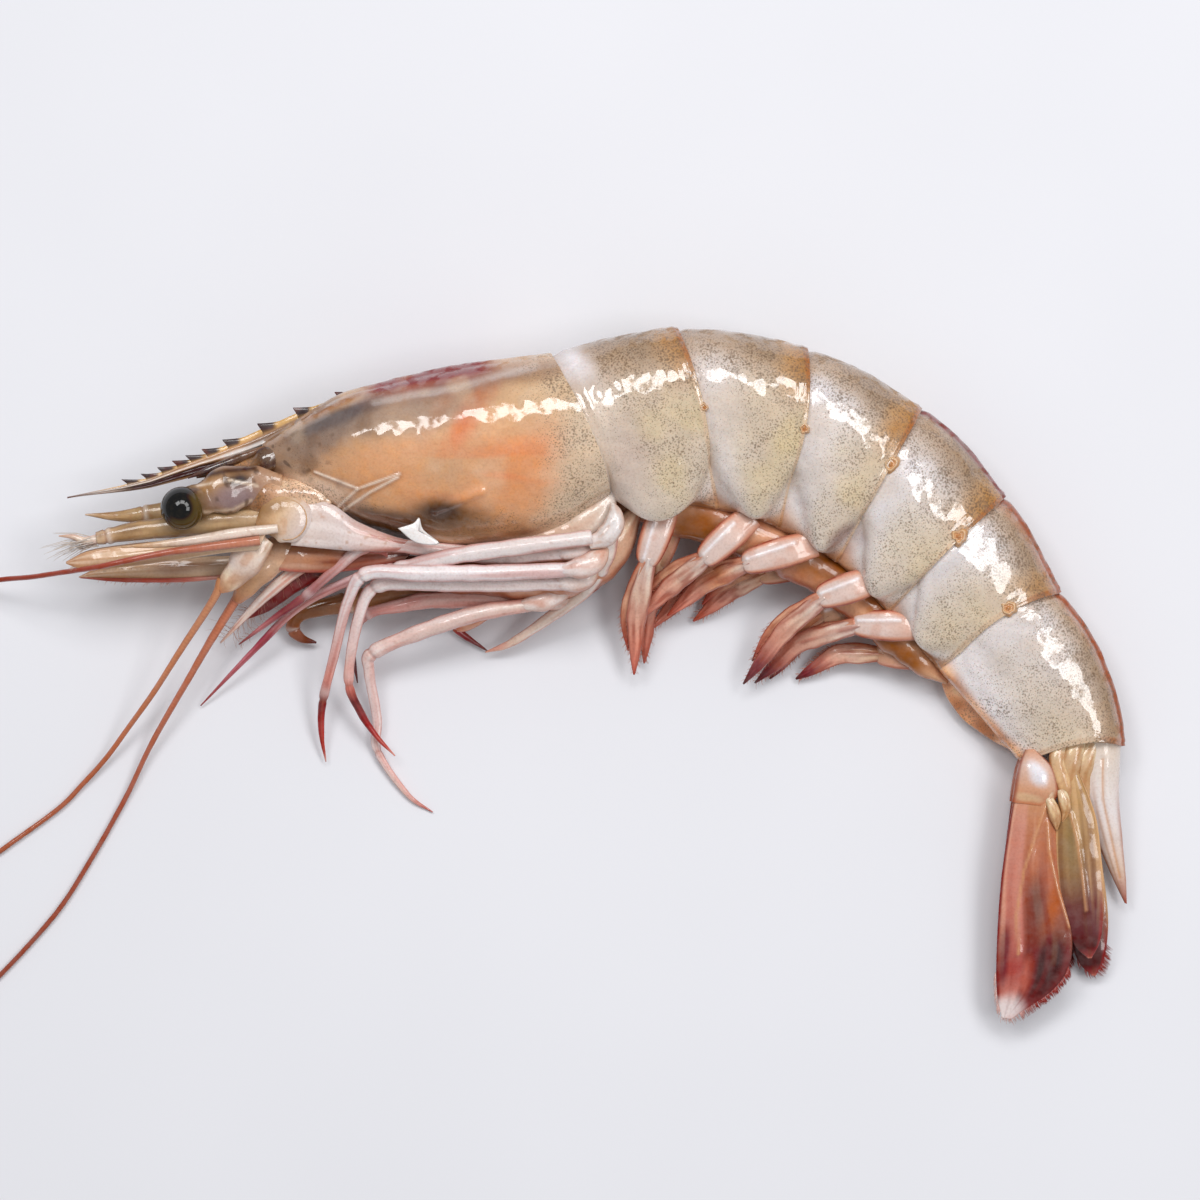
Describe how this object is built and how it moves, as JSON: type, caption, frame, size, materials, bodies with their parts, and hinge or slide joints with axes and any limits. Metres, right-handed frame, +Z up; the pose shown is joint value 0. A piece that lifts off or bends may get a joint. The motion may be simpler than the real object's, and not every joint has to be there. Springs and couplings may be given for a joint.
{
  "type": "raw white shrimp",
  "caption": "Whole raw white shrimp lying curled on its side, head and shell on, with beak, eyes, feelers, legs, swimming limbs and tail fan",
  "frame": {"origin": "centre of the footprint, on the surface the shrimp lies on", "axes": "+X from the feelers to the tail side, +Y towards the back of the animal, +Z up out of its left flank"},
  "size_m": [0.1598, 0.093, 0.0169],
  "materials": {
    "shell": "wet translucent shell",
    "limb": "wet translucent limb",
    "whip": "smooth horny feeler",
    "fan": "wet fan blade, dark red towards its end",
    "eye": "glossy black"
  },
  "bodies": {
    "root": {"carapace": "shell", "tail_plate_1": "shell", "tail_plate_2": "shell", "tail_plate_3": "shell", "tail_plate_4": "shell", "tail_plate_5": "shell", "tail_plate_6": "shell", "head": "shell", "eye_l": "eye", "eye_r": "eye", "eyestalk_l": "limb", "eyestalk_r": "limb", "antennule_l": "limb", "antennule_r": "limb", "scale_l": "limb", "scale_r": "limb", "antenna_base_l": "limb", "antenna_base_r": "limb", "maxilliped_l": "limb", "maxilliped_r": "limb", "breast_keel": "limb", "leg_l1": "limb", "leg_l2": "limb", "leg_l3": "limb", "leg_l4": "limb", "leg_l5": "limb", "leg_r1": "limb", "leg_r2": "limb", "leg_r3": "limb", "leg_r4": "limb", "leg_r5": "limb", "antenna_l": "whip", "antenna_r": "whip", "feeler": "whip", "swimmeret_l1": "limb", "swimmeret_l2": "limb", "swimmeret_l3": "limb", "swimmeret_l4": "limb", "swimmeret_l5": "limb", "swimmeret_r1": "limb", "swimmeret_r2": "limb", "swimmeret_r3": "limb", "swimmeret_r4": "limb", "swimmeret_r5": "limb", "telson": "fan", "uropod_base_l": "limb", "uropod_base_r": "limb", "exopod_l": "fan", "endopod_l": "fan", "endopod_r": "fan", "exopod_r": "fan"}
  },
  "joints": []
}
